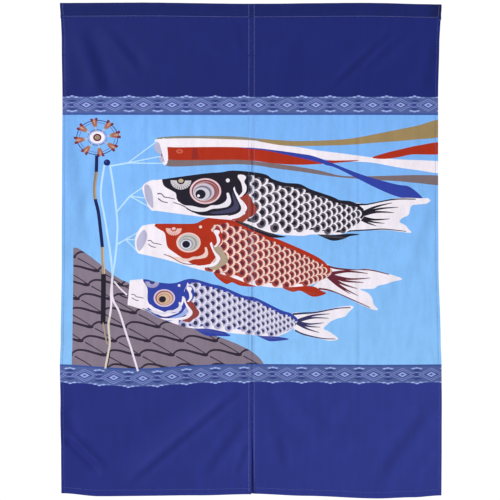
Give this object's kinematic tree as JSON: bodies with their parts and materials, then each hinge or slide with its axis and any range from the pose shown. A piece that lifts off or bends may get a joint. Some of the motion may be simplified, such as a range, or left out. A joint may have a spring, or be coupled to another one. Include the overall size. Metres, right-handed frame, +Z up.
{
  "type": "noren split door curtain",
  "caption": "Flat split door curtain of printed cloth in two hemmed panels, sewn together at the top, hung on a rod through a sleeve; a carp-streamer scene between dark bands.",
  "frame": {"origin": "middle of the rod's axis inside the two rod sleeves, halfway across the curtain's width", "axes": "+Z up, +X to the viewer's right along the rod, the printed face looks along -Y"},
  "size_m": [0.85, 0.0136, 1.1],
  "materials": {
    "navy_print": "printed plain-weave polyester, matt with a faint sheen",
    "sky_print": "printed plain-weave polyester, matt with a faint sheen",
    "lower_navy_print": "printed plain-weave polyester, matt with a faint sheen",
    "sewing_thread": "fine polyester sewing thread"
  },
  "bodies": {
    "rod_sleeves": {"left_rod_sleeve": "navy_print", "left_sleeve_stitching": "sewing_thread", "right_rod_sleeve": "navy_print", "right_sleeve_stitching": "sewing_thread"},
    "header": {"left_header_cloth": "navy_print", "left_header_outer_hem": "navy_print", "left_header_outer_stitching": "sewing_thread", "left_header_centre_hem": "navy_print", "left_header_centre_stitching": "sewing_thread", "right_header_cloth": "navy_print", "right_header_outer_hem": "navy_print", "right_header_outer_stitching": "sewing_thread", "right_header_centre_hem": "navy_print", "right_header_centre_stitching": "sewing_thread", "centre_join_seam": "sewing_thread", "centre_bar_tack": "sewing_thread"},
    "left_upper_flap": {"left_upper_flap_cloth": "sky_print", "left_upper_flap_outer_hem": "sky_print", "left_upper_flap_outer_stitching": "sewing_thread", "left_upper_flap_centre_hem": "sky_print", "left_upper_flap_centre_stitching": "sewing_thread"},
    "left_middle_flap": {"left_middle_flap_cloth": "sky_print", "left_middle_flap_outer_hem": "sky_print", "left_middle_flap_outer_stitching": "sewing_thread", "left_middle_flap_centre_hem": "sky_print", "left_middle_flap_centre_stitching": "sewing_thread"},
    "left_lower_flap": {"left_lower_flap_cloth": "lower_navy_print", "left_lower_flap_outer_hem": "lower_navy_print", "left_lower_flap_outer_stitching": "sewing_thread", "left_lower_flap_centre_hem": "lower_navy_print", "left_lower_flap_centre_stitching": "sewing_thread", "left_bottom_hem": "lower_navy_print", "left_bottom_stitching": "sewing_thread"},
    "right_upper_flap": {"right_upper_flap_cloth": "sky_print", "right_upper_flap_outer_hem": "sky_print", "right_upper_flap_outer_stitching": "sewing_thread", "right_upper_flap_centre_hem": "sky_print", "right_upper_flap_centre_stitching": "sewing_thread"},
    "right_middle_flap": {"right_middle_flap_cloth": "sky_print", "right_middle_flap_outer_hem": "sky_print", "right_middle_flap_outer_stitching": "sewing_thread", "right_middle_flap_centre_hem": "sky_print", "right_middle_flap_centre_stitching": "sewing_thread"},
    "right_lower_flap": {"right_lower_flap_cloth": "lower_navy_print", "right_lower_flap_outer_hem": "lower_navy_print", "right_lower_flap_outer_stitching": "sewing_thread", "right_lower_flap_centre_hem": "lower_navy_print", "right_lower_flap_centre_stitching": "sewing_thread", "right_bottom_hem": "lower_navy_print", "right_bottom_stitching": "sewing_thread"}
  },
  "joints": [
    {"name": "header_swing", "type": "hinge", "parent": "rod_sleeves", "child": "header", "pos_m": [0, 0, -0.0262], "axis": [1, 0, 0], "range_deg": [-20, 20]},
    {"name": "left_flap_swing", "type": "hinge", "parent": "header", "child": "left_upper_flap", "pos_m": [0, 0, -0.1982], "axis": [1, 0, 0], "range_deg": [-60, 60]},
    {"name": "left_middle_fold", "type": "hinge", "parent": "left_upper_flap", "child": "left_middle_flap", "pos_m": [0, 0, -0.4982], "axis": [1, 0, 0], "range_deg": [-45, 45]},
    {"name": "left_lower_fold", "type": "hinge", "parent": "left_middle_flap", "child": "left_lower_flap", "pos_m": [0, 0, -0.7982], "axis": [1, 0, 0], "range_deg": [-45, 45]},
    {"name": "right_flap_swing", "type": "hinge", "parent": "header", "child": "right_upper_flap", "pos_m": [0, 0, -0.1982], "axis": [1, 0, 0], "range_deg": [-60, 60]},
    {"name": "right_middle_fold", "type": "hinge", "parent": "right_upper_flap", "child": "right_middle_flap", "pos_m": [0, 0, -0.4982], "axis": [1, 0, 0], "range_deg": [-45, 45]},
    {"name": "right_lower_fold", "type": "hinge", "parent": "right_middle_flap", "child": "right_lower_flap", "pos_m": [0, 0, -0.7982], "axis": [1, 0, 0], "range_deg": [-45, 45]}
  ]
}
